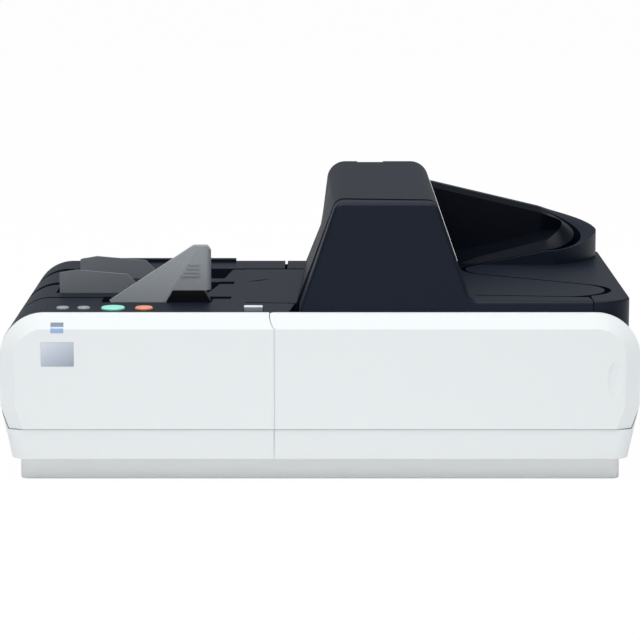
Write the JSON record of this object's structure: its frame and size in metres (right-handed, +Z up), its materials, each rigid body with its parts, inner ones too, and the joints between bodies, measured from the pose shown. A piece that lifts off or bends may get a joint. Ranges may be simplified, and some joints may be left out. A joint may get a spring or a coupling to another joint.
{
  "type": "cheque scanner",
  "caption": "Desktop cheque scanner: feed hopper with a sprung paddle, camera tower on a hinged front door, a curved paper track and sorting pockets with sprung plates.",
  "frame": {"origin": "on the surface it stands on, under the middle of the case", "axes": "+X to the operator's right along the case's long side, +Y to the back, +Z up"},
  "size_m": [0.51, 0.3, 0.2268],
  "materials": {
    "white_casing": "fine satin texture, warm white",
    "white_plinth": "fine satin texture, warm white",
    "black_casing": "fine satin texture, blue black",
    "black_guide": "satin",
    "control_black": "satin",
    "paddle_grey": "satin grey",
    "carriage_black": "satin",
    "plate_dark": "satin dark grey",
    "button_grey": "satin",
    "button_teal": "satin",
    "button_orange": "satin",
    "lever_grey": "satin",
    "badge_bare": "bare plate",
    "status_lens": "pale lens",
    "steel": "zinc plated",
    "roller_rubber": "matte",
    "belt_rubber": "matte",
    "foot_rubber": "matte",
    "bush_plastic": "plain",
    "camera_black": "plain",
    "board_green": "solder mask",
    "socket_black": "plain"
  },
  "bodies": {
    "case": {"badge_plate": "badge_bare", "base_pan": "white_plinth", "button_board": "board_green", "camera_rear": "camera_black", "case_screws": "steel", "chassis": "steel", "control_panel": "control_black", "door_catch": "camera_black", "exit_guides": "black_guide", "feed_belt": "belt_rubber", "front_island": "black_casing", "gate_solenoid": "steel", "hinge_bracket": "steel", "left_deck": "black_casing", "left_front_panel": "white_casing", "lower_case": "white_casing", "magnetic_head": "steel", "main_board": "board_green", "motors": "steel", "outer_turn_wall": "black_casing", "paddle_rail": "steel", "plate_pins": "steel", "power_supply": "board_green", "rear_sockets": "socket_black", "rear_track_wall": "black_guide", "rear_turn_guide": "black_guide", "right_deck": "black_casing", "rubber_feet": "foot_rubber", "shaft_bushes": "bush_plastic", "status_window": "status_lens", "tower_rear_cover": "black_casing", "track_floor": "black_guide", "transport_belt": "belt_rubber"},
    "door": {"door_panel": "white_casing", "tower_front_cover": "black_casing", "front_track_wall": "black_guide", "front_frame": "black_guide", "camera_front": "camera_black"},
    "front_pinch_roller": {"pinch_roller_1": "roller_rubber"},
    "second_pinch_roller": {"pinch_roller_2": "roller_rubber"},
    "band_pinch_roller": {"pinch_roller_3": "roller_rubber"},
    "rear_pinch_roller": {"pinch_roller_4": "roller_rubber"},
    "feed_roller": {"feed_roller": "roller_rubber"},
    "front_drive_roller": {"front_drive_roller": "roller_rubber"},
    "separation_roller": {"separation_roller": "roller_rubber"},
    "transport_roller_1": {"transport_roller_1": "roller_rubber"},
    "transport_roller_2": {"transport_roller_2": "roller_rubber"},
    "transport_roller_3": {"transport_roller_3": "roller_rubber"},
    "transport_roller_4": {"transport_roller_4": "roller_rubber"},
    "hopper_paddle": {"hopper_paddle": "paddle_grey", "paddle_carriage": "carriage_black"},
    "feed_release_lever": {"feed_release_lever": "lever_grey"},
    "pocket_plate_1": {"pocket_plate_1": "plate_dark"},
    "pocket_plate_2": {"pocket_plate_2": "plate_dark"},
    "diverter_gate": {"diverter_gate": "plate_dark"},
    "button_1": {"button_1": "button_grey"},
    "button_2": {"button_2": "button_grey"},
    "button_3": {"button_3": "button_teal"},
    "button_4": {"button_4": "button_orange"},
    "power_rocker": {"power_rocker": "socket_black"}
  },
  "joints": [
    {"name": "door_hinge", "type": "hinge", "parent": "case", "child": "door", "pos_m": [-0.03385, -0.144, 0.09], "axis": [0, 0, -1], "range_deg": [0, 40]},
    {"name": "front_pinch_spin", "type": "hinge", "parent": "door", "child": "front_pinch_roller", "pos_m": [0.002, -0.10057, 0.12], "axis": [0, 0, 1], "continuous": true},
    {"name": "second_pinch_spin", "type": "hinge", "parent": "door", "child": "second_pinch_roller", "pos_m": [0.092, -0.10958, 0.12], "axis": [0, 0, 1], "continuous": true},
    {"name": "band_pinch_spin", "type": "hinge", "parent": "case", "child": "band_pinch_roller", "pos_m": [0.17, 0.06182, 0.12], "axis": [0, 0, 1], "continuous": true},
    {"name": "rear_pinch_spin", "type": "hinge", "parent": "case", "child": "rear_pinch_roller", "pos_m": [0.08, 0.13767, 0.12], "axis": [0, 0, 1], "continuous": true},
    {"name": "feed_roller_spin", "type": "hinge", "parent": "case", "child": "feed_roller", "pos_m": [-0.078, -0.0955, 0.12], "axis": [0, 0, 1], "continuous": true},
    {"name": "front_drive_spin", "type": "hinge", "parent": "case", "child": "front_drive_roller", "pos_m": [-0.05, -0.09838, 0.12], "axis": [0, 0, 1], "continuous": true},
    {"name": "separation_spin", "type": "hinge", "parent": "case", "child": "separation_roller", "pos_m": [-0.05, -0.07802, 0.12], "axis": [0, 0, 1], "continuous": true},
    {"name": "transport_spin_1", "type": "hinge", "parent": "case", "child": "transport_roller_1", "pos_m": [0.002, -0.08322, 0.12], "axis": [0, 0, 1], "continuous": true},
    {"name": "transport_spin_2", "type": "hinge", "parent": "case", "child": "transport_roller_2", "pos_m": [0.092, -0.09223, 0.12], "axis": [0, 0, 1], "continuous": true},
    {"name": "transport_spin_3", "type": "hinge", "parent": "case", "child": "transport_roller_3", "pos_m": [0.17, 0.07917, 0.12], "axis": [0, 0, 1], "continuous": true},
    {"name": "transport_spin_4", "type": "hinge", "parent": "case", "child": "transport_roller_4", "pos_m": [0.08, 0.12283, 0.12], "axis": [0, 0, 1], "continuous": true},
    {"name": "paddle_slide", "type": "slide", "parent": "case", "child": "hopper_paddle", "axis": [0, 1, 0], "range_m": [0, 0.0179], "stiffness_N_per_m": 40, "springref_m": -0.01},
    {"name": "feed_release_slide", "type": "slide", "parent": "case", "child": "feed_release_lever", "axis": [0, 1, 0], "range_m": [0, 0.004]},
    {"name": "pocket_plate_swing_1", "type": "hinge", "parent": "case", "child": "pocket_plate_1", "pos_m": [-0.092, -0.03, 0.12], "axis": [0, 0, -1], "range_deg": [0, 10], "stiffness_Nm_per_rad": 0.02, "springref_deg": -5.73},
    {"name": "pocket_plate_swing_2", "type": "hinge", "parent": "case", "child": "pocket_plate_2", "pos_m": [-0.0815, 0.049, 0.12], "axis": [0, 0, -1], "range_deg": [0, 10], "stiffness_Nm_per_rad": 0.02, "springref_deg": -5.73},
    {"name": "diverter_swing", "type": "hinge", "parent": "case", "child": "diverter_gate", "pos_m": [-0.034, 0.0961, 0.11], "axis": [0, 0, 1], "range_deg": [-4, 10], "stiffness_Nm_per_rad": 0.005},
    {"name": "button_press_1", "type": "slide", "parent": "case", "child": "button_1", "axis": [0, 0, -1], "range_m": [0, 0.0012], "stiffness_N_per_m": 600, "springref_m": -0.0008},
    {"name": "button_press_2", "type": "slide", "parent": "case", "child": "button_2", "axis": [0, 0, -1], "range_m": [0, 0.0012], "stiffness_N_per_m": 600, "springref_m": -0.0008},
    {"name": "button_press_3", "type": "slide", "parent": "case", "child": "button_3", "axis": [0, 0, -1], "range_m": [0, 0.0012], "stiffness_N_per_m": 600, "springref_m": -0.0008},
    {"name": "button_press_4", "type": "slide", "parent": "case", "child": "button_4", "axis": [0, 0, -1], "range_m": [0, 0.0012], "stiffness_N_per_m": 600, "springref_m": -0.0008},
    {"name": "power_rocker_tilt", "type": "hinge", "parent": "case", "child": "power_rocker", "pos_m": [0.224, 0.143, 0.046], "axis": [1, 0, 0], "range_deg": [-16, 0]}
  ],
  "couplings": [
    {"joint": "transport_spin_2", "follows": "transport_spin_1", "ratio": 1},
    {"joint": "transport_spin_3", "follows": "transport_spin_1", "ratio": 1},
    {"joint": "transport_spin_4", "follows": "transport_spin_1", "ratio": 1},
    {"joint": "band_pinch_spin", "follows": "transport_spin_1", "ratio": -1.4286},
    {"joint": "rear_pinch_spin", "follows": "transport_spin_1", "ratio": -2.2222},
    {"joint": "feed_roller_spin", "follows": "front_drive_spin", "ratio": 1}
  ]
}
